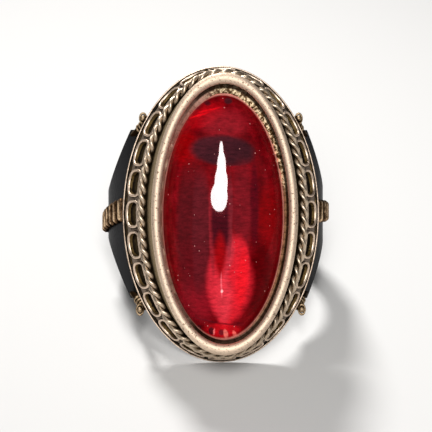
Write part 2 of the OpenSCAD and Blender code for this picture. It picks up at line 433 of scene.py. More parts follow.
base_wire_r = 0.13
outer_wire = oval_wire("outer_wire", grown(head_half, -0.13), 0.2, base_wire_r)
inner_wire = oval_wire("inner_wire", grown(head_half, -0.42), 0.4, base_wire_r)
base_wires = joined("base_wires", [outer_wire, inner_wire])
plate_rows = [
    (*grown(head_half, -0.7), 0.1),
    (*grown(head_half, -0.25), 0.06),
    (*grown(head_half, -0.2), 0.3),
    (*grown(head_half, -0.36), 0.62),
    (*grown(head_half, -0.8), 0.62),
]
base_plate = stacked_ovals("base_plate", plate_rows, closed=True)
plate_low, plate_high = 0.2, 0.6
insets = (3.6, 2.8, 2.0, 1.2, 0.5)
foot_rows = [(*grown(head_half, -inset), plate_low) for inset in insets]
foot_rows += [(*grown(head_half, -inset), plate_high) for inset in reversed(insets)]
foot_plate = stacked_ovals("foot_plate", foot_rows)
print("base:", sum(len(p.data.polygons) for p in (base_wires, base_plate, foot_plate)), "faces")

# %% [markdown]
# The rope is two strands of round wire twisted together. Two curves wound round each other would
# do, but a Screw modifier twists both at once, as the jeweller twists a doubled wire: their section,
# two circles side by side, goes along the strip in 33 full turns, and the strip is rolled round the
# cup on its ledge.

# %% Twisted wire
rope_lengths = oval_lengths(rope_half)
rope_length = rope_lengths[-1]
rope_z = ledge + 0.37
rope_steps = rope_turns * 20
strand_r, strand_gap, strand_sides = 0.245, 0.19, 12
strands = []
for side in (-1, 1):
    deselect()
    bpy.ops.mesh.primitive_circle_add(
        vertices=strand_sides, radius=strand_r, fill_type="NOTHING", location=(side * strand_gap, 0, 0)
    )
    strands.append(apply_place(named("strand")))
rope = joined("twisted_wire", strands)
modify(
    rope, "SCREW", axis="Z", angle=math.tau * rope_turns, screw_offset=rope_length,
    steps=rope_steps, render_steps=rope_steps, use_smooth_shade=True,
)


def on_rope(x, y, z):
    """The strip stands along Z here, because the screw does: x is out of the cup and y is up."""
    turn = turn_at(z / rope_length, rope_lengths)
    spot = Vector((rope_half[0] * math.cos(turn), rope_half[1] * math.sin(turn), foot + rope_z + y))
    return spot + outward(rope_half, turn) * x


roll(rope, on_rope)
print("twisted wire:", len(rope.data.polygons), "faces")

# %% [markdown]
# Inside the rim a serrated row is pressed over the edge of the stone. It reaches furthest in at the
# upper end of the head and least on the left. Notches cut into a ring would all be alike, so it is
# made of teeth: one is a cube whose tip is a little narrower and lower, and copies stand side by
# side along the strip, worn almost into one.

# %% Serrated row
teeth = 84
teeth_lengths = oval_lengths(well_half)
tooth_w = teeth_lengths[-1] / teeth
tooth_overlap, tooth_h, tooth_tip, tooth_round = 1.06, 0.5, 0.95, 0.045
tip_thinner, tip_lower = 0.6, 0.05
deselect()
bpy.ops.mesh.primitive_cube_add(size=1, location=(0, 0, 0))
tooth = named("serrated_row")
shape(tooth)
bpy.ops.transform.resize(value=(tooth_w * tooth_overlap, 1, tooth_h))
bpy.ops.object.mode_set(mode="OBJECT")
for corner in tooth.data.vertices:
    if corner.co.y > 0:
        corner.co.x *= tooth_tip
        corner.co.z = corner.co.z * tip_thinner - tip_lower
modify(tooth, "BEVEL", width=tooth_round, segments=2, limit_method="NONE")
serrated_row = repeated(tooth, teeth, tooth_w)
row_z = head_h - 0.95


def row_reach(turn):
    """How far the row reaches in: more on the right and most at the upper end, and never evenly."""
    beside = 0.32 + 0.14 * math.cos(turn)
    at_ends = 0.71 + 0.29 * math.sin(turn) + 0.1 * math.cos(turn)
    return mix(beside, at_ends, math.sin(turn) ** 2) * (1 + 0.08 * math.sin(turn * 53))


def on_row(x, y, z):
    """y points in over the stone, from -0.5 at the wall to 0.5 at the tip, and z is up."""
    turn = turn_at(x / tooth_w / teeth, teeth_lengths)
    share = y + 0.5 if y > -0.4 else -0.1
    lift = 0.04 * math.sin(turn * 37) * share
    across, along = well_half
    spot = Vector((across * math.cos(turn), along * math.sin(turn), foot + row_z + z + lift))
    return spot - outward(well_half, turn) * row_reach(turn) * share


roll(serrated_row, on_row)
print("serrated row:", len(serrated_row.data.polygons), "faces")

# %% [markdown]
# The stone is a long oval cabochon: a flat back, a short wall up to its widest line, and a dome.
# A stretched sphere would do for the dome, but not for the wall and the flat back, so it is a stack
# of ovals again. The dome's ovals follow a quarter circle, closely enough for clean reflections.

# %% Stone
dome_steps = 26
dome_tip = 0.015
wall_low, wall_soft = -stone_back / 3, 0.1
stone_rows = [
    (*grown(stone_half, -0.7), -stone_back),
    (*grown(stone_half, -0.05), wall_low - wall_soft),
    (*stone_half, wall_low + wall_soft),
]
for step in range(dome_steps):
    a = math.pi / 2 * step / dome_steps
    stone_rows.append((stone_half[0] * math.cos(a), stone_half[1] * math.cos(a), dome_h * math.sin(a)))
stone_rows.append((stone_half[0] * dome_tip, stone_half[1] * dome_tip, dome_h))
stone = stacked_ovals("cabochon", [(a, b, girdle + z) for a, b, z in stone_rows], around=192)
shape(stone)
bpy.ops.transform.translate(value=(stone_shift[0] * mm, stone_shift[1] * mm, 0))
bpy.ops.object.mode_set(mode="OBJECT")
print("stone:", len(stone.data.polygons), "faces")

# %% [markdown]
# The band is turned like a short tube and then sawn to its outline: narrow at the back, a fan at
# each shoulder and a crown under the cup. A bent strip would not stay round inside, so the tube is a
# cylinder, its outline a strip of rows extruded through it, and two boolean modifiers do the sawing.
# A bevel breaks the edges, and its faces get the second slot, for a brighter finish: a painted
# highlight along them.

# %% Band
fan_low, fan_top, fan_lip, fan_curve, fan_steps = -1.0, 5.7, 0.5, 1.8, 16
waist_w, crown_w = 4.6, 8.0
edge_round = 0.18


def fan_half(share):
    return mix(waist_w, shoulder_w, share**fan_curve) / 2


outline_rows = [(band_w / 2, -band_r), (band_w / 2, -band_r / 2)]
fan_shares = [i / fan_steps for i in range(fan_steps + 1)]
outline_rows += [(fan_half(share), mix(fan_low, fan_top, share)) for share in fan_shares]
outline_rows += [(shoulder_w / 2, fan_top + fan_lip), (crown_w / 2, foot), (crown_w / 2, band_r + 2)]


def tube(name, radius, length, drop=0.0, around=192):
    """A solid cylinder that lies along Y, lowered by drop."""
    deselect()
    bpy.ops.mesh.primitive_cylinder_add(
        vertices=around, radius=radius * mm, depth=length * mm, location=(0, 0, -drop * mm),
        rotation=(math.pi / 2, 0, 0),
    )
    return apply_place(named(name))


def sawn_outline(name, rows):
    """A solid whose front is the outline: its edge is extruded row by row, then through."""
    deselect()
    bpy.ops.mesh.primitive_plane_add(size=2, location=(0, 0, 0))
    solid = named(name)
    reach = (outer_r + 2) * mm
    ends = [Vector((-reach, side * rows[0][0] * mm, rows[0][1] * mm)) for side in (-1, 1)]
    next_ends = [Vector((-reach, side * rows[1][0] * mm, rows[1][1] * mm)) for side in (-1, 1)]
    for vertex, spot in zip(solid.data.vertices, ends + next_ends):
        vertex.co = spot
    shape(solid)
    mesh = bmesh.from_edit_mesh(solid.data)
    for edge in mesh.edges:
        edge.select_set(all(abs(v.co.z - rows[1][1] * mm) < 1e-7 for v in edge.verts))
    mesh.select_flush_mode()
    bmesh.update_edit_mesh(solid.data)
    for last, row in zip(rows[1:], rows[2:]):
        bpy.ops.mesh.extrude_region_move()
        bpy.ops.transform.resize(value=(1, row[0] / last[0], 1), center_override=(0, 0, 0))
        bpy.ops.transform.translate(value=(0, 0, (row[1] - last[1]) * mm))
    bpy.ops.mesh.select_all(action="SELECT")
    bpy.ops.mesh.extrude_region_move(TRANSFORM_OT_translate={"value": (2 * reach, 0, 0)})
    return clean(solid)


def carved(piece, tool, how):
    """Cuts or keeps with another solid, which is used up."""
    modify(piece, "BOOLEAN", operation=how, object=tool, solver="EXACT")
    bpy.data.objects.remove(tool)
    return piece


band = tube("band", outer_r, shoulder_w + 2, band_drop)
carved(band, sawn_outline("band_outline", outline_rows), "INTERSECT")
carved(band, tube("finger_hole", finger_r, shoulder_w + 4), "DIFFERENCE")
clean(band)
make_slots(band, 2)
modify(band, "BEVEL", width=edge_round * mm, segments=3, angle_limit=math.radians(40), material=1)
clean(band)
print("band:", len(band.data.polygons), "faces")

# %% [markdown]
# Near the middle of each shoulder sits a coil: short wires side by side, like the turns of a tight
# spring, each with two small beads at both ends. A true spiral would hide half of each turn in the
# band, so one turn is a cylinder with drawn-in ends. It is copied round the shoulder about the
# centre of the band's outside, and the left coil slants.

# %% Ribbed coils
rib_r, rib_straight, rib_end, rib_tip = 0.55, 1.75, 0.4, 0.25
rib_ends = [
    # share of the end's length, how much narrower it gets, at last as narrow as the tip
    (0.45, 0.88),
    (0.35, 0.66),
    (0.2, rib_tip / rib_r / 0.58),
]
bead_r, bead_out, bead_beyond = 0.24, 0.14, 0.12
rib_shorter = 0.05
coil_proud = 0.06
coil_rows = {1: (0.3, 0.0), -1: (1.4, -0.2)}
rib_pitch, rib_top = 5.2, 55.4


def one_rib():
    deselect()
    lying_down = (math.pi / 2, 0, 0)
    bpy.ops.mesh.primitive_cylinder_add(vertices=20, radius=rib_r, depth=rib_straight, rotation=lying_down)
    rib = apply_place(named("rib"))
    for side in (-1, 1):
        shape(rib)
        mesh = bmesh.from_edit_mesh(rib.data)
        for face in mesh.faces:
            face.select_set(face.normal.y * side > 0.9)
        mesh.select_flush_mode()
        bmesh.update_edit_mesh(rib.data)
        for share, narrower in rib_ends:
            bpy.ops.mesh.extrude_region_move()
            bpy.ops.transform.resize(value=(narrower, 1, narrower))
            bpy.ops.transform.translate(value=(0, side * rib_end * share, 0))
    bpy.ops.object.mode_set(mode="OBJECT")
    beads = []
    for side in (-1, 1):
        for across in (-0.22, 0.24):
            spot = (bead_out, side * (rib_straight / 2 + bead_beyond), across)
            bpy.ops.mesh.primitive_uv_sphere_add(segments=10, ring_count=6, radius=bead_r, location=spot)
            beads.append(apply_place(named("bead")))
    return joined("rib", [rib, *beads])


ribs = []
first_rib = one_rib()
pick(first_rib)
bpy.ops.transform.resize(value=(mm, mm, mm), center_override=(0, 0, 0))
bpy.ops.transform.translate(value=((outer_r + coil_proud) * mm, 0, 0))
apply_place(first_rib)
for index in range(coil_ribs):
    for side in (-1, 1):
        pick(first_rib)
        bpy.ops.object.duplicate()
        rib = bpy.context.object
        turn = Matrix.Rotation(-math.radians(rib_top - index * rib_pitch), 4, "Y")
        if side < 0:
            turn = Matrix.Rotation(math.pi, 4, "Z") @ turn
        shorter = Matrix.Scale(1 - index * rib_shorter / (rib_straight + 2 * rib_end), 4, (0, 1, 0))
        first, step = coil_rows[side]
        place = Matrix.Translation((0, (first + step * index) * mm, -band_drop * mm))
        rib.data.transform(place @ turn @ shorter)
        ribs.append(rib)
bpy.data.objects.remove(first_rib)
coils = clean(joined("coils", ribs), 50)
print("coils:", len(coils.data.polygons), "faces")

# %% [markdown]
# At each corner of the shoulders a short wire rises to the foot of the head. It carries collars,
# turned like the knobs on a bedpost, and ends in a bead that lies in a small loop of wire. Each part
# is a millimetre or less, so plain round forms pushed into each other are enough. The two on the
# right are made, and a Mirror modifier adds the two on the left.

# %% Corner scrolls
scroll_beads = [(7.8, -9.2), (7.5, 9.2)]
scroll_in = (0.4, 0.2)
scroll_inset = 0.7
bead_z = foot + 0.1
stem_r, collar_wire, loop_r, loop_wire = 0.3, 0.13, 0.37, 0.1
collars = [
    # share of the way up the stem, radius
    (0.86, 0.3024),
    (0.7, 0.3168),
    (0.54, 0.3024),
]
loop_stretch = (0.85, 1.25, 1)
root_r = (finger_r + band_r) / 2
root_turn = math.asin((fan_top - 0.2) / band_r)


def scroll(bead_x, bead_y):
    side = math.copysign(1, bead_y)
    root_y = side * (shoulder_w / 2 - scroll_inset)
    low = Vector((root_r * math.cos(root_turn), root_y, root_r * math.sin(root_turn)))
    high = Vector((bead_x - scroll_in[0], bead_y - side * scroll_in[1], bead_z))
    bead = Vector((bead_x, bead_y, bead_z))
    axis = high - low
    turn = axis.to_track_quat("Z", "Y").to_euler()
    parts = []
    deselect()
    bpy.ops.mesh.primitive_cylinder_add(
        vertices=20, radius=stem_r * mm, depth=axis.length * mm, location=(low + high) / 2 * mm,
        rotation=turn,
    )
    parts.append(named("stem"))
    for share, radius in collars:
        bpy.ops.mesh.primitive_torus_add(
            location=(low + axis * share) * mm, rotation=turn, major_segments=24, minor_segments=10,
            major_radius=radius * mm, minor_radius=collar_wire * mm,
        )
        parts.append(named("collar"))
    bpy.ops.mesh.primitive_uv_sphere_add(segments=20, ring_count=12, radius=stem_r * mm, location=bead * mm)
    parts.append(named("knob"))
    bpy.ops.mesh.primitive_torus_add(
        location=bead * mm, major_segments=28, minor_segments=10,
        major_radius=loop_r * mm, minor_radius=loop_wire * mm,
    )
    bpy.ops.transform.resize(value=loop_stretch, center_override=bead * mm)
    parts.append(named("loop"))
    return [apply_place(part) for part in parts]


knobs = []
for bead_x, bead_y in scroll_beads:
    knobs += scroll(bead_x, bead_y)
right_scrolls = joined("corner_scrolls", knobs)
corner_scrolls = modify(right_scrolls, "MIRROR", use_axis=(True, False, False), use_mirror_merge=False)
clean(corner_scrolls, 50)
print("corner scrolls:", len(corner_scrolls.data.polygons), "faces")

# %% [markdown]
# Now every piece is laid down together, as the ring rests: turned about X and lifted onto the floor.
# The meshes are turned and not the objects, which stay at the origin.

# %% Laying the ring down
metal = [cup, rim, gallery, outlines, base_wires, base_plate, foot_plate]
metal += [rope, serrated_row, band, coils, corner_scrolls]
for piece in [*metal, stone]:
    piece.data.transform(lying)
    piece.data.update()
    low = [min(v.co[i] for v in piece.data.vertices) * 1000 for i in range(3)]
    high = [max(v.co[i] for v in piece.data.vertices) * 1000 for i in range(3)]
    print(f"{piece.name:16}", [round(v, 2) for v in low], [round(v, 2) for v in high])

# %% [markdown]
# Dirt and tarnish stay where a cloth can't reach, and shade falls there too, so the darkening stored
# here is tarnish and painted shade together. An ambient occlusion node would find such places only
# while rendering, and a value stored on the mesh goes with the piece. So from each point of the
# metal short rays are sent out all round, and how many meet metal or stone within 1.3 mm, near ones
# counting more, is stored on the point.

# %% Hollows
hollow_reach = 1.3 * mm
ray_start = 0.02 * mm
ray_count = 14


def solid_tree(pieces):
    points, faces = [], []
    for piece in pieces:
        start = len(points)
        points += [v.co.copy() for v in piece.data.vertices]
        faces += [[start + i for i in face.vertices] for face in piece.data.polygons]
    return BVHTree.FromPolygons(points, faces)


def paint_hollows(pieces, tree):
    golden = math.pi * (3 - math.sqrt(5))
    rays = []
    for i in range(ray_count):
        z = (i + 0.5) / ray_count
        flat = math.sqrt(1 - z * z)
        rays.append(Vector((flat * math.cos(golden * i), flat * math.sin(golden * i), z)))
    for piece in pieces:
        layer = piece.data.attributes.new("hollow", "FLOAT", "POINT")
        values = []
        for vertex in piece.data.vertices:
            turn = vertex.normal.to_track_quat("Z", "Y")
            start = vertex.co + vertex.normal * ray_start
            hits = 0.0
            for ray in rays:
                far = tree.ray_cast(start, turn @ ray, hollow_reach)[3]
                if far is not None:
                    hits += 1 - 0.5 * far / hollow_reach
            values.append(hits / ray_count)
        layer.data.foreach_set("value", values)
        print(f"{piece.name:16} mean hollow {sum(values) / len(values):.2f}")


paint_hollows(metal, solid_tree([*metal, stone]))

# %% [markdown]
# The finishes.
#
# All the metal shares one way of ageing: it is bright where it is rubbed and dark in the hollows,
# with tarnish and painted shade together, and it has fine grain and scratches. Painted by hand it
# would differ from piece to piece, so it is one node group, with its own numbers in each finish.
# First come helpers that add nodes, link them and lay them out in rows.


# %% Node helpers
def feed(tree, value, socket):
    """Sets a socket to a number, place or colour, or links another socket to it."""
    if isinstance(value, bpy.types.NodeSocket):
        tree.links.new(value, socket)
    else:
        socket.default_value = value


def new_node(tree, kind, **values):
    """Adds a node beside the others, with its settings and with its inputs set or linked."""
    node = tree.nodes.new(kind)
    row, column = divmod(len(tree.nodes), 10)
    node.location = (column * 200 - 2300, -row * 320)
    for key, value in values.items():
        if hasattr(node, key):
            setattr(node, key, value)
        else:
            feed(tree, value, node.inputs[key.replace("_", " ")])
    return node


def math_node(tree, how, *values, clamp=False):
    node = new_node(tree, "ShaderNodeMath", operation=how, use_clamp=clamp)
    for value, socket in zip(values, node.inputs):
        feed(tree, value, socket)
    return node.outputs[0]


def vector_math(tree, how, *values, output="Vector"):
    node = new_node(tree, "ShaderNodeVectorMath", operation=how)
    for value, socket in zip(values, node.inputs):
        feed(tree, value, socket)
    return node.outputs[output]


def noise(tree, place, scale, detail, roughness):
    node = new_node(
        tree, "ShaderNodeTexNoise", Vector=place, Scale=scale, Detail=detail, Roughness=roughness
    )
    return node.outputs


def stretched(tree, place, scale, turn=(0, 0, 0)):
    """The same places scaled along each axis, which draws a pattern out where the scale is small."""
    node = new_node(tree, "ShaderNodeMapping", Vector=place, Scale=scale, Rotation=turn)
    return node.outputs["Vector"]


def between(tree, value, low, high, to=(0.0, 1.0), soft=False):
    """Turns low into the first value of to and high into the second, and holds it beyond them."""
    node = new_node(
        tree, "ShaderNodeMapRange", interpolation_type="SMOOTHSTEP" if soft else "LINEAR", Value=value,
        From_Min=low, From_Max=high, To_Min=to[0], To_Max=to[1],
    )
    return node.outputs["Result"]


def ramp(tree, stops, source):
    """Turns a value into colours, through stops of position and colour."""
    node = new_node(tree, "ShaderNodeValToRGB", Fac=source)
    points = node.color_ramp.elements
    for point, (position, colour) in zip((points[0], points[-1]), (stops[0], stops[-1])):
        point.position, point.color = position, (*colour, 1)
    for position, colour in stops[1:-1]:
        points.new(position).color = (*colour, 1)
    return node.outputs["Color"]


def group(name, inputs, outputs):
    tree = bpy.data.node_groups.new(name, "ShaderNodeTree")
    for label, kind, value in inputs:
        socket = tree.interface.new_socket(label, in_out="INPUT", socket_type=kind)
        if value is not None:
            socket.default_value = value
    for label, kind in outputs:
        tree.interface.new_socket(label, in_out="OUTPUT", socket_type=kind)
    return tree, tree.nodes.new("NodeGroupInput").outputs, tree.nodes.new("NodeGroupOutput").inputs


# %% [markdown]
# The group gets the place on the ring in millimetres and the stored hollows. It gives a mask of
# tarnish and painted shade, a mask of fine wear for the roughness, and a height for the grain. That
# mask follows the hollows, made uneven by a broad and a fine noise, and fills small pits. The
# scratches are a noise drawn out in one direction.

# %% Ageing, with painted shade in the hollows
ageing, given, result = group(
    "ageing",
    [
        ("Place", "NodeSocketVector", None),
        ("Hollow", "NodeSocketFloat", 0.0),
        ("Clean below", "NodeSocketFloat", 0.25),
        ("Dark above", "NodeSocketFloat", 0.7),
        ("Grain size", "NodeSocketFloat", 6.0),
        ("Pits", "NodeSocketFloat", 0.0),
    ],
    [("Tarnish_and_shade", "NodeSocketFloat"), ("Wear", "NodeSocketFloat"), ("Height", "NodeSocketFloat")],
)
broad = noise(ageing, given["Place"], 1.1, 4.0, 0.6)["Fac"]
fine = noise(ageing, given["Place"], given["Grain size"], 5.0, 0.65)["Fac"]
drawn_out = stretched(ageing, given["Place"], (9.0, 1.2, 1.2), (0.3, 0.2, 0.5))
scratches = noise(ageing, drawn_out, 2.5, 6.0, 0.7)["Fac"]
pit_spots = noise(ageing, given["Place"], 4.5, 3.0, 0.6)["Fac"]
unevenness, speckling, scratch_height = 0.55, 0.45, 0.6
pits_from, pits_to = 0.58, 0.68
uneven = math_node(ageing, "MULTIPLY", math_node(ageing, "SUBTRACT", broad, 0.5), unevenness)
speckle = math_node(ageing, "MULTIPLY", math_node(ageing, "SUBTRACT", fine, 0.5), speckling)
# The hollows darken with tarnish and painted shade alike.
dirt_and_shade = math_node(ageing, "ADD", math_node(ageing, "ADD", given["Hollow"], uneven), speckle)
spread = between(ageing, dirt_and_shade, given["Clean below"], given["Dark above"], soft=True)
pits = between(ageing, pit_spots, pits_from, pits_to)
pitted = math_node(ageing, "MULTIPLY", pits, given["Pits"])
height = math_node(ageing, "ADD", fine, math_node(ageing, "MULTIPLY", scratches, scratch_height))
feed(ageing, math_node(ageing, "MAXIMUM", spread, pitted), result["Tarnish_and_shade"])
feed(ageing, scratches, result["Wear"])
feed(ageing, math_node(ageing, "SUBTRACT", height, pitted), result["Height"])
print("ageing:", len(ageing.nodes), "nodes")

# %% [markdown]
# A finish reads its place from the Object coordinates, turned back upright and scaled to
# millimetres, so that patterns stand the right way on the ring however it lies. Where tarnish and
# painted shade darken it, it is also rougher.

# %% Metal finish
upright = lying.inverted()
worn_smoother, worn_rougher = 0.08, 0.12
grain_height = 0.03


def place_on_ring(tree):
    coordinates = new_node(tree, "ShaderNodeTexCoord")
    turned = new_node(
        tree, "ShaderNodeMapping", Vector=coordinates.outputs["Object"],
        Location=upright.to_translation() / mm, Rotation=upright.to_euler(), Scale=(1 / mm, 1 / mm, 1 / mm),
    )
    return turned.outputs["Vector"]


def metal_finish(name, bright, dull, dark, rough, hollows, grain, relief, edge_shine, pits, metallic):
    """A worn metal: bright where rubbed, dull between, dark in the hollows with tarnish and painted shade.
    """
    material = bpy.data.materials.new(name)
    material.use_nodes = True
    tree = material.node_tree
    shader = tree.nodes["Principled BSDF"]
    hollow = new_node(tree, "ShaderNodeAttribute", attribute_name="hollow")
    aged = new_node(
        tree, "ShaderNodeGroup", name="Aged", node_tree=ageing, Place=place_on_ring(tree),
        Hollow=hollow.outputs["Fac"], Clean_below=hollows[0], Dark_above=hollows[1],
        Grain_size=grain, Pits=pits,
    )
    # This mask darkens the colour with tarnish and painted shade together.
    tarnish_and_shade = aged.outputs["Tarnish_and_shade"]
    colour = ramp(tree, [(0.0, bright), (0.45, dull), (1.0, dark)], tarnish_and_shade)
    feed(tree, colour, shader.inputs["Base Color"])
    clean_rough, dirty_rough = rough
    worn_rough = (clean_rough - worn_smoother, clean_rough + worn_rougher)
    wear = between(tree, aged.outputs["Wear"], 0.0, 1.0, worn_rough)
    rougher = math_node(tree, "MULTIPLY", tarnish_and_shade, dirty_rough - clean_rough)
    feed(tree, math_node(tree, "ADD", wear, rougher, clamp=True), shader.inputs["Roughness"])
    shader.inputs["Metallic"].default_value = metallic
    shader.inputs["Specular Tint"].default_value = (edge_shine, edge_shine, edge_shine, 1)
    bump = new_node(
        tree, "ShaderNodeBump", Strength=relief, Distance=grain_height * mm,
        Height=aged.outputs["Height"],
    )
    feed(tree, bump.outputs["Normal"], shader.inputs["Normal"])
    return material


def wear_on(piece, *materials):
    """Fills the piece's slots, so that each face keeps the slot that it was given."""
    slots = piece.data.materials
    for index, material in enumerate(materials):
        if index < len(slots):
            slots[index] = material
        else:
            slots.append(material)


# %% [markdown]
# The metal is one alloy, but it has aged differently from place to place, so one finish would look
# flat and each kind of piece gets its own. A finish is a row: its bright, dull and dark colour, its
# roughness where clean and where dirty, the hollows between which it darkens with tarnish and painted
# shade, the size and relief of its grain, how far a glancing view still shines, how marked its pits
# are and how metallic it is.
# The band is nearly black, a painted dark reflection, and its second slot is a painted highlight
# on its bevelled edges. The gallery has one for its cut edges and inside.

# %% The finishes and who wears them
finishes = {
    # name: bright, dull, dark,
    # rough (clean, dirty), hollows (bright below, dark above), grain, relief, edge shine, pits, metallic
    "bright_silver": (
        (0.76, 0.6, 0.46), (0.4, 0.29, 0.2), (0.07, 0.035, 0.015),
        (0.6, 0.7), (0.3, 0.8), 7, 0.6, 0.7, 0.6, 1,
    ),
    "worn_silver": (
        (0.64, 0.51, 0.38), (0.3, 0.22, 0.15), (0.03, 0.018, 0.008),
        (0.42, 0.66), (0.28, 0.68), 6, 0.4, 0.6, 0.3, 1,
    ),
    "dim_wire": (
        (0.4, 0.29, 0.18), (0.15, 0.095, 0.045), (0.02, 0.01, 0.004),
        (0.5, 0.7), (0.15, 0.5), 6, 0.4, 0.5, 0.4, 1,
    ),
    "gallery_sheet": (
        (0.26, 0.2, 0.155), (0.1, 0.072, 0.05), (0.008, 0.005, 0.002),
        (0.5, 0.8), (0.25, 0.6), 6, 0.5, 0.4, 0.3, 0.8,
    ),
    "rubbed_wire": (
        (0.8, 0.63, 0.49), (0.42, 0.3, 0.21), (0.03, 0.018, 0.008),
        (0.46, 0.7), (0.25, 0.65), 6, 0.4, 0.6, 0.4, 1,
    ),
    "golden_cut": (
        (0.16, 0.1, 0.035), (0.03, 0.018, 0.006), (0.004, 0.003, 0.0015),
        (0.6, 0.85), (0.05, 0.4), 9, 1.0, 0.25, 0.8, 0.6,
    ),
    "grainy_wall": (
        (0.4, 0.31, 0.19), (0.19, 0.14, 0.075), (0.02, 0.013, 0.005),
        (0.55, 0.8), (0.3, 0.75), 7, 1.0, 0.45, 0.9, 1,
    ),
    "golden_wire": (
        (0.95, 0.68, 0.42), (0.2, 0.11, 0.055), (0.01, 0.005, 0.002),
        (0.26, 0.6), (-0.12, 0.3), 6, 0.4, 0.5, 0.4, 1,
    ),
    "pinkish_row": (
        (0.6, 0.38, 0.28), (0.34, 0.185, 0.125), (0.07, 0.03, 0.018),
        (0.5, 0.7), (0.45, 1.0), 9, 0.7, 0.5, 0.3, 1,
    ),
    # the band's near-black stands for a painted dark reflection
    "band_dark_reflection": (
        (0.026, 0.026, 0.028), (0.018, 0.018, 0.018), (0.008, 0.008, 0.008),
        (0.38, 0.6), (0.25, 0.8), 5, 0.3, 0.35, 0.2, 0.7,
    ),
    # a painted highlight on the band's bevelled edges
    "band_edge_highlight": (
        (0.62, 0.62, 0.62), (0.34, 0.34, 0.33), (0.05, 0.05, 0.05),
        (0.36, 0.6), (0.3, 0.8), 5, 0.4, 0.6, 0.7, 1,
    ),
    "deep_brown": (
        (0.045, 0.028, 0.01), (0.02, 0.012, 0.004), (0.004, 0.002, 0.001),
        (0.7, 0.85), (0.1, 0.6), 8, 1.0, 0.2, 0.3, 0.2,
    ),
}
worn_by = {
    "bright_silver": [rim],
    "worn_silver": [rope],
    "dim_wire": [corner_scrolls],
    "rubbed_wire": [outlines, base_wires],
    "golden_cut": [base_plate],
    "grainy_wall": [cup],
    "golden_wire": [coils],
    "pinkish_row": [serrated_row],
    "deep_brown": [foot_plate],
}
made = {name: metal_finish(name, *numbers) for name, numbers in finishes.items()}
for name, pieces in worn_by.items():
    for piece in pieces:
        wear_on(piece, made[name])
wear_on(band, made["band_dark_reflection"], made["band_edge_highlight"])
wear_on(gallery, made["gallery_sheet"], made["golden_cut"])
print("finishes:", len(made))

# %% [markdown]
# The stone is deep red glass. What shows in it is the seat below, drawn out by the dome: a flame in
# the lower half, a dark wedge above it, a dark oval behind the highlight and hazes on both sides.
# Clear glass over a painted seat could show that, but it would stay noisy in a short render and be
# lost in the exported model. So these are soft shapes laid over each other on the surface. Each runs
# from one end to the other. Roundness 2 makes it an oval, 1 a pointed leaf, and more makes it boxy.
# One node group draws the mask of any of them.

# %% A soft shape
soft_shape, given, result = group(
    "soft_shape",
    [
        ("Place", "NodeSocketVector", None),
        ("Middle", "NodeSocketVector", None),
        ("Along", "NodeSocketVector", None),
        ("Across", "NodeSocketVector", None),
        ("Roundness", "NodeSocketFloat", 2.0),
        ("Softness", "NodeSocketFloat", 0.3),
    ],
    [("Mask", "NodeSocketFloat")],
)
centred = vector_math(soft_shape, "SUBTRACT", given["Place"], given["Middle"])
along = vector_math(soft_shape, "DOT_PRODUCT", centred, given["Along"], output="Value")
across = vector_math(soft_shape, "DOT_PRODUCT", centred, given["Across"], output="Value")
sideways = math_node(soft_shape, "POWER", math_node(soft_shape, "ABSOLUTE", across), given["Roundness"])
inside = math_node(soft_shape, "SUBTRACT", 1.0, math_node(soft_shape, "MULTIPLY", along, along))
edge = between(
    soft_shape, math_node(soft_shape, "SUBTRACT", inside, sideways),
    math_node(soft_shape, "MULTIPLY", given["Softness"], -1.0), given["Softness"], soft=True,
)
feed(soft_shape, edge, result["Mask"])


def light_mask(tree, place, start, end, half_width, roundness, softness):
    """The mask of one soft shape that runs from start to end."""
    axis = Vector((end[0] - start[0], end[1] - start[1], 0)) / 2
    node = new_node(
        tree, "ShaderNodeGroup", node_tree=soft_shape, Place=place,
        Middle=(start[0] + axis.x, start[1] + axis.y, 0), Along=axis / axis.length_squared,
        Across=Vector((-axis.y, axis.x, 0)).normalized() / half_width, Roundness=roundness,
        Softness=softness,
    )
    return node.outputs["Mask"]


def laid_over(tree, below, colour, mask):
    """Mixes a colour, plain or from another node, over what lies below, by a mask."""
    if isinstance(colour, tuple):
        colour = (*colour, 1)
    node = new_node(tree, "ShaderNodeMix", data_type="RGBA", Factor=mask, A=below, B=colour)
    return node.outputs["Result"]


# %% [markdown]
# The lights and shadows are measured in millimetres from the middle of the head, and given from the
# lowest layer to the uppermost. A slow noise shakes their outlines a little, so that none looks
# drawn with a compass. Below them is a dark red in soft streaks along the stone, and over them a
# finer noise, drawn out across it, makes the whole a little brighter and darker, like old glass.

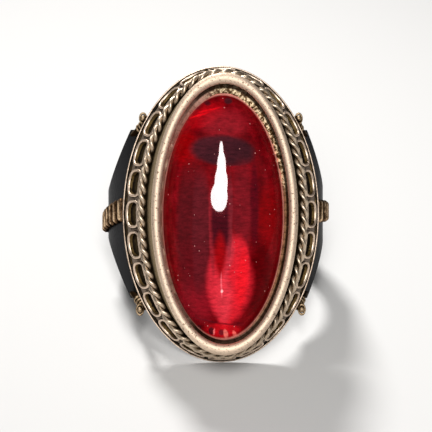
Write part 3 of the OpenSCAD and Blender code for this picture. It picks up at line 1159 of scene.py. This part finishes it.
# %% Lights and shadows in the stone
stone_lights = [
    # from, to, half width, roundness, softness, colour, cover
    # the glass itself: darker left and right, brighter towards its ends
    ((-3.74, 7.9), (-3.86, 4.59), 0.9, 2, 1.0, (0.32, 0.0, 0.001), 0.7),
    ((4.02, 2.64), (3.94, -3.33), 0.85, 2, 0.9, (0.23, 0.0, 0.001), 0.85),
    ((3.45, -2.7), (2.78, -9.77), 1.15, 2, 0.65, (0.08, 0.0, 0.001), 0.93),
    ((-3.77, -6.22), (-1.87, -9.99), 1.5, 2, 0.8, (0.24, 0.006, 0.014), 0.7),
    # the upper end: hazes, two bright streaks and three dark blobs
    ((-3.35, 8.29), (-0.31, 10.16), 0.9, 2, 0.9, (0.46, 0.002, 0.006), 0.7),
    ((-0.01, 9.84), (-0.06, 7.23), 2.1, 2, 0.9, (0.3, 0.012, 0.02), 0.6),
    ((-3.18, 9.04), (-1.41, 9.56), 0.1, 2, 0.9, (0.85, 0.004, 0.01), 0.7),
    ((-2.41, 9.54), (-0.63, 9.96), 0.1, 2, 0.9, (0.85, 0.004, 0.01), 0.7),
    ((-0.02, 10.64), (0.69, 10.64), 0.3, 2, 0.6, (0.05, 0.008, 0.012), 0.9),
    ((-1.92, 10.54), (-1.31, 10.28), 0.22, 2, 0.8, (0.06, 0.004, 0.008), 0.85),
    ((-2.92, 9.92), (-2.32, 10.1), 0.22, 2, 0.9, (0.07, 0.004, 0.008), 0.8),
    # the dark oval behind the highlight
    ((-3.24, 6.11), (2.6, 5.87), 1.36, 2, 0.35, (0.045, 0.009, 0.014), 0.9),
    ((-1.79, 5.63), (2.6, 5.59), 1.15, 4, 0.3, (0.04, 0.007, 0.011), 0.75),
    # the columns below it
    ((-3.03, 3.96), (-3.0, -7.23), 1.56, 3, 0.6, (0.085, 0.005, 0.008), 0.8),
    ((-2.34, 3.41), (-2.31, -7.07), 0.8, 4, 0.7, (0.11, 0.009, 0.014), 0.7),
    ((1.47, 4.42), (1.46, -3.32), 0.95, 3, 0.8, (0.18, 0.008, 0.014), 0.65),
    ((2.67, 4.58), (2.65, -2.7), 0.4, 2, 0.8, (0.07, 0.001, 0.006), 0.7),
    # the flame: a right and a left leaf, a brighter right edge and pale hazes
    ((0.86, -2.5), (0.16, -10.66), 1.95, 1, 0.3, (0.64, 0.013, 0.024), 0.92),
    ((1.05, -2.1), (0.8, -7.77), 1.25, 2.4, 0.4, (0.62, 0.013, 0.024), 0.85),
    ((-1.19, -3.32), (-0.07, -10.66), 1.05, 1, 0.35, (0.54, 0.02, 0.034), 0.9),
    ((1.7, -3.4), (1.37, -8.72), 0.55, 1.5, 0.8, (0.76, 0.008, 0.015), 0.75),
    ((0.44, -1.99), (-0.01, -5.57), 0.5, 1.5, 0.8, (0.46, 0.03, 0.046), 0.8),
    ((-0.25, -5.11), (-0.02, -10.46), 0.65, 1, 0.8, (0.66, 0.035, 0.052), 0.7),
    ((-1.5, 1.85), (-1.17, -5.58), 0.26, 2, 0.6, (0.26, 0.014, 0.022), 0.8),
    ((0.37, 3.4), (0.23, -4.01), 0.3, 2, 0.7, (0.19, 0.016, 0.024), 0.75),
    # the dark wedge that points down into it, and the thin pale line below
    ((-0.64, 4.57), (-0.54, -5.73), 0.82, 1, 0.25, (0.045, 0.002, 0.006), 0.93),
    ((-0.59, -1.9), (-0.54, -5.81), 0.56, 1.5, 0.9, (0.32, 0.0015, 0.003), 0.85),
    ((-0.45, -5.57), (-0.36, -7.77), 0.08, 2, 0.8, (0.8, 0.14, 0.17), 0.6),
    ((-0.37, -7.08), (-0.36, -7.36), 0.1, 2, 0.6, (0.95, 0.5, 0.5), 0.8),
    # the lower end: a dark arc, and scallops of the seat below it
    ((-1.83, -11.12), (1.62, -11.16), 0.85, 2, 0.7, (0.56, 0.004, 0.01), 0.85),
    ((-3.1, -9.66), (-0.47, -10.31), 0.07, 1, 0.8, (0.1, 0.004, 0.01), 0.8),
    ((-0.79, -10.26), (1.83, -10.47), 0.07, 1, 0.8, (0.1, 0.002, 0.006), 0.8),
    ((0.62, -10.26), (1.83, -10.35), 0.2, 2, 0.8, (0.14, 0.002, 0.006), 0.7),
    ((-2.47, -10.45), (-2.28, -10.97), 0.2, 2, 0.6, (0.06, 0.004, 0.008), 0.85),
    ((-1.3, -10.64), (-1.19, -11.35), 0.26, 2, 0.5, (0.045, 0.004, 0.008), 0.92),
    ((-0.34, -10.86), (-0.29, -11.46), 0.26, 2, 0.6, (0.14, 0.008, 0.016), 0.88),
    ((-0.96, -10.74), (-1.05, -11.43), 0.08, 1.5, 0.7, (0.85, 0.16, 0.16), 0.85),
    ((-0.03, -10.86), (0.22, -11.75), 0.2, 2, 0.6, (0.9, 0.18, 0.15), 0.88),
    ((0.79, -10.98), (1.16, -11.68), 0.17, 2, 0.6, (0.9, 0.14, 0.12), 0.88),
]
glass_depth = [(0.3, (0.085, 0.0, 0.002)), (0.5, (0.15, 0.001, 0.003)), (0.72, (0.25, 0.004, 0.009))]
shaken_by = 0.22
glass = bpy.data.materials.new("red_glass")
glass.use_nodes = True
tree = glass.node_tree
shader = tree.nodes["Principled BSDF"]
place = place_on_ring(tree)
ripple = noise(tree, place, 0.9, 3.0, 0.55)
shake = vector_math(tree, "SUBTRACT", ripple["Color"], (0.5,) * 3)
shaken = vector_math(tree, "ADD", place, vector_math(tree, "MULTIPLY", shake, (shaken_by,) * 3))
deeper = noise(tree, stretched(tree, place, (1.0, 0.45, 1.0)), 0.8, 6.0, 0.65)["Fac"]
colour = ramp(tree, glass_depth, deeper)
for start, end, half_width, roundness, softness, tint, cover in stone_lights:
    mask = light_mask(tree, shaken, start, end, half_width, roundness, softness)
    colour = laid_over(tree, colour, tint, math_node(tree, "MULTIPLY", mask, cover))
cloudy = noise(tree, stretched(tree, place, (0.8, 2.4, 1.0)), 1.7, 7.0, 0.72)["Fac"]
brighter = between(tree, cloudy, 0.32, 0.68, (0.6, 1.4))
colour = vector_math(tree, "MULTIPLY", colour, brighter)
print("lights and shadows:", len(stone_lights))

# %% [markdown]
# A thin pinkish line, a painted reflection of the metal in the edge of the glass, runs just inside
# the serrated row, where the glass meets the metal. Towards that edge and towards the lower end the
# polish has worn off, so the clear coat ends there and less is mirrored. A line of geometry would be
# too thick, so both are drawn by how far out a place is on an oval: 0 in its middle and 1 on it.

# %% Painted edge reflection and polish
edge_middle = (-0.14, -0.25, 0)
edge_half = (5.77, 11.7)
line_from, line_to, line_least = 0.972, 0.986, 0.25
polish_from, polish_to = 0.86, 0.72
worn_end, polished_end = -5.0, -1.3
rubbed_rough, polished_rough = 0.34, 0.1
from_middle = vector_math(tree, "SUBTRACT", place, edge_middle)
flat = vector_math(tree, "MULTIPLY", from_middle, (1 / edge_half[0], 1 / edge_half[1], 0))
out_share = vector_math(tree, "LENGTH", flat, output="Value")
broken = math_node(tree, "ADD", ripple["Fac"], line_least, clamp=True)
# The painted reflection of the metal, a thin pinkish line in the glass's edge.
edge_reflection = math_node(tree, "MULTIPLY", between(tree, out_share, line_from, line_to), broken)
colour = laid_over(tree, colour, (0.95, 0.4, 0.32), edge_reflection)
unrubbed = between(tree, out_share, polish_from, polish_to, soft=True)
height_along = new_node(tree, "ShaderNodeSeparateXYZ", Vector=place).outputs["Y"]
upper = between(tree, height_along, worn_end, polished_end, soft=True)
polish = math_node(tree, "MULTIPLY", unrubbed, upper)
feed(tree, polish, shader.inputs["Coat Weight"])
feed(tree, between(tree, polish, 0.0, 1.0, (rubbed_rough, polished_rough)), shader.inputs["Roughness"])
print("edge line at", edge_half, "mm")

# %% [markdown]
# Fine pale specks of dust and small bubbles lie on the stone. A Voronoi texture scatters points, and
# its random colours choose which of them get a speck and how large it is.

# %% Specks
speck_reach, bare_share, speck_cover = 0.14, 0.6, 0.7
cells = new_node(tree, "ShaderNodeTexVoronoi", Vector=place, Scale=2.1)
chance = new_node(tree, "ShaderNodeSeparateColor", Color=cells.outputs["Color"])
size = math_node(tree, "MULTIPLY", chance.outputs["Green"], speck_reach)
near = math_node(tree, "LESS_THAN", cells.outputs["Distance"], size)
few = math_node(tree, "GREATER_THAN", chance.outputs["Red"], bare_share)
speck = math_node(tree, "MULTIPLY", math_node(tree, "MULTIPLY", near, few), speck_cover)
feed(tree, laid_over(tree, colour, (0.75, 0.3, 0.28), speck), shader.inputs["Base Color"])
shader.inputs["Specular IOR Level"].default_value = 0.12
shader.inputs["Coat Roughness"].default_value = 0.03
shader.inputs["Coat IOR"].default_value = 1.56
shader.inputs["Specular Tint"].default_value = (1.0, 0.08, 0.08, 1)
wear_on(stone, glass)
print("stone's finish:", len(tree.nodes), "nodes")

# %% [markdown]
# The serrated row is painted with how the light falls on it round its oval: pale where it is lit on
# the left, pinkish at the upper left, brown in painted shade on the right and below, and full of
# golden flecks at the upper right, where its edge is broken. Several finishes would meet in seams,
# so the same soft shapes lay these colours over its one finish. A painted shadow fills the groove
# between the row and the rim, except on the left.

# %% The serrated row's painted light and shade
groove_from, groove_to, groove_cover = 0.955, 0.968, 0.95
left_unshaded, left_shaded = -5.0, -2.5
tree = made["pinkish_row"].node_tree
shader = tree.nodes["Principled BSDF"]
place = place_on_ring(tree)
tarnish_and_shade = tree.nodes["Aged"].outputs["Tarnish_and_shade"]
colour = shader.inputs["Base Color"].links[0].from_socket
flecks = noise(tree, place, 3.6, 4.0, 0.6)["Fac"]
# Pale where lit on the left, and brown in painted shade on the right and below.
row_light_and_shade = [
    # what the colours follow, from, to, half width of the shape, then the stops of the colours
    (tarnish_and_shade, (-1.0, 12.8), (-6.0, 6.0), 1.6, [
        (0.0, (0.66, 0.38, 0.29)), (0.45, (0.36, 0.18, 0.13)), (1.0, (0.07, 0.03, 0.02)),
    ]),
    (tarnish_and_shade, (5.4, 10.5), (4.9, -10.5), 3.0, [
        (0.0, (0.34, 0.19, 0.1)), (0.45, (0.14, 0.07, 0.03)), (1.0, (0.03, 0.012, 0.005)),
    ]),
    (tarnish_and_shade, (5.8, -7.4), (-4.6, -12.2), 1.7, [
        (0.0, (0.36, 0.2, 0.12)), (0.45, (0.17, 0.085, 0.045)), (1.0, (0.03, 0.012, 0.005)),
    ]),
    (tarnish_and_shade, (-5.7, 6.5), (-5.7, -7.5), 1.3, [
        (0.0, (0.85, 0.6, 0.42)), (0.5, (0.6, 0.39, 0.27)), (1.0, (0.2, 0.1, 0.06)),
    ]),
    (flecks, (-1.2, 13.0), (6.6, 2.6), 2.2, [
        (0.42, (0.06, 0.03, 0.01)), (0.5, (0.26, 0.16, 0.07)), (0.57, (1.0, 0.82, 0.54)),
    ]),
]
for source, start, end, half_width, stops in row_light_and_shade:
    mask = light_mask(tree, place, start, end, half_width, 2, 0.6)
    colour = laid_over(tree, colour, ramp(tree, stops, source), mask)
flat = vector_math(tree, "MULTIPLY", place, (1 / well_half[0], 1 / well_half[1], 0))
groove = between(tree, vector_math(tree, "LENGTH", flat, output="Value"), groove_from, groove_to)
sideways = new_node(tree, "ShaderNodeSeparateXYZ", Vector=place).outputs["X"]
not_left = between(tree, sideways, left_unshaded, left_shaded, (0.0, groove_cover))
# A painted shadow in the groove between the row and the rim.
groove_shadow = math_node(tree, "MULTIPLY", groove, not_left)
feed(tree, laid_over(tree, colour, (0.012, 0.005, 0.002), groove_shadow), shader.inputs["Base Color"])
print("row's colours:", len(row_light_and_shade))

# %% [markdown]
# Every piece rides on the ring's one body. The metal pieces stand for the solid of the setting,
# and the cabochon for the solid of the stone.

# %% Riding on the body
for piece in metal:
    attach(piece, "root")
    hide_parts("setting")
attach(stone, "root")
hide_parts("stone")
print("pieces:", len(metal) + 1)

# %% [markdown]
# The floor is one large plain plane, big enough that its edge stays out of every view. Its top is at
# height 0, where the ring touches it.

# %% Floor
deselect()
bpy.ops.mesh.primitive_plane_add(size=1.2, location=(0, 0, 0))
floor = apply_place(named("floor"))
pale = bpy.data.materials.new("pale_floor")
pale.use_nodes = True
shader = pale.node_tree.nodes["Principled BSDF"]
shader.inputs["Base Color"].default_value = (0.62, 0.61, 0.595, 1)
shader.inputs["Roughness"].default_value = 0.7
wear_on(floor, pale)

# %% [markdown]
# The camera stands at the photograph's angle: almost straight in front of the face, three degrees
# to the left of it, 28 centimetres away. The lens makes the picture's width cover 40.6 mm at the rim.

# %% Camera
face_turn = math.radians(3.0)
camera_far = 280.0
picture_w = 40.6
aim_right, aim_up, aim_below = 0.83, 0.19, 0.2
back_axis = Vector((-math.sin(face_turn), 0, math.cos(face_turn)))
up_axis = Vector((0, 1, 0))
right_axis = up_axis.cross(back_axis)
aim = Vector((0, 0, foot + head_h - aim_below)) - right_axis * aim_right - up_axis * aim_up
eye = aim + back_axis * camera_far
turn = lying.to_3x3() @ Matrix((right_axis, up_axis, back_axis)).transposed()
deselect()
bpy.ops.object.camera_add(location=lying @ (eye * mm))
camera = bpy.context.object
camera.rotation_mode = "QUATERNION"
camera.rotation_quaternion = turn.to_quaternion()
camera.data.lens = camera.data.sensor_width * camera_far / picture_w
camera.data.clip_start = 0.01
bpy.context.scene.camera = camera
print("camera at", [round(v, 3) for v in camera.location], "lens", round(camera.data.lens, 1))

# %% [markdown]
# Soft studio light. The highlight on the dome is the mirror image of the main light, so that light
# has its shape: four oval panels just above the camera, which get narrower upwards and together make
# a long drop. They light the ring as well. A soft spotlight from behind and above lights the floor
# and stays out of the stone, which faces the other way, and a dim pale room fills the shadows.


# %% Lights
def panel(name, toward, far, size, power):
    """A soft oval light, so far away from the face in a direction of the upright ring."""
    face = Vector((0, 0, foot + head_h))
    spot, target = lying @ ((face + toward * far) * mm), lying @ (face * mm)
    deselect()
    bpy.ops.object.light_add(type="AREA", location=spot)
    light = bpy.context.object
    light.name = name
    light.data.shape = "ELLIPSE"
    light.data.size, light.data.size_y = size
    light.data.energy = power
    light.rotation_mode = "QUATERNION"
    back = (spot - target).normalized()
    across = (lying.to_3x3() @ Vector((0, 1, 0))).cross(back).normalized()
    light.rotation_quaternion = Matrix((across, back.cross(across), back)).transposed().to_quaternion()
    light.visible_camera = False


drop_far = 500.0
drop_bright = 20.0
drop_panels = [
    # degrees above and beside the camera, degrees wide and high
    (6.8, -2.5, 22.5, 10.5),
    (12.0, 0.1, 17.5, 13.0),
    (18.5, 0.6, 12.0, 13.0),
    (25.0, -0.1, 6.0, 11.0),
]
for index, (above, beside, wide, high) in enumerate(drop_panels):
    turn_x, turn_y = math.radians(beside) - face_turn, math.radians(above)
    level = math.cos(turn_y)
    toward = Vector((math.sin(turn_x) * level, math.sin(turn_y), math.cos(turn_x) * level))
    size = [drop_far * math.radians(v) * mm for v in (wide, high)]
    power = drop_bright * math.pi * math.pi / 4 * size[0] * size[1]
    panel(f"drop_{index + 1}", toward, drop_far, size, power)
    print(f"drop_{index + 1}:", round(power, 2), "W")
spot_from, spot_to = Vector((-0.12, 0.36, 0.42)), Vector((0, 0.03, 0))
deselect()
bpy.ops.object.light_add(type="SPOT", location=spot_from)
floor_light = bpy.context.object
floor_light.name = "floor_light"
floor_light.data.energy = 16.0
floor_light.data.shadow_soft_size = 0.06
floor_light.data.spot_size = math.radians(24)
floor_light.data.spot_blend = 1.0
floor_light.rotation_mode = "QUATERNION"
floor_light.rotation_quaternion = (spot_from - spot_to).to_track_quat("Z", "Y")
floor_light.visible_camera = False
world = bpy.data.worlds.new("room")
bpy.context.scene.world = world
world.use_nodes = True
background = world.node_tree.nodes["Background"]
background.inputs["Color"].default_value = (0.9, 0.92, 0.95, 1)
background.inputs["Strength"].default_value = 0.06
bpy.context.scene.view_settings.view_transform = "Standard"
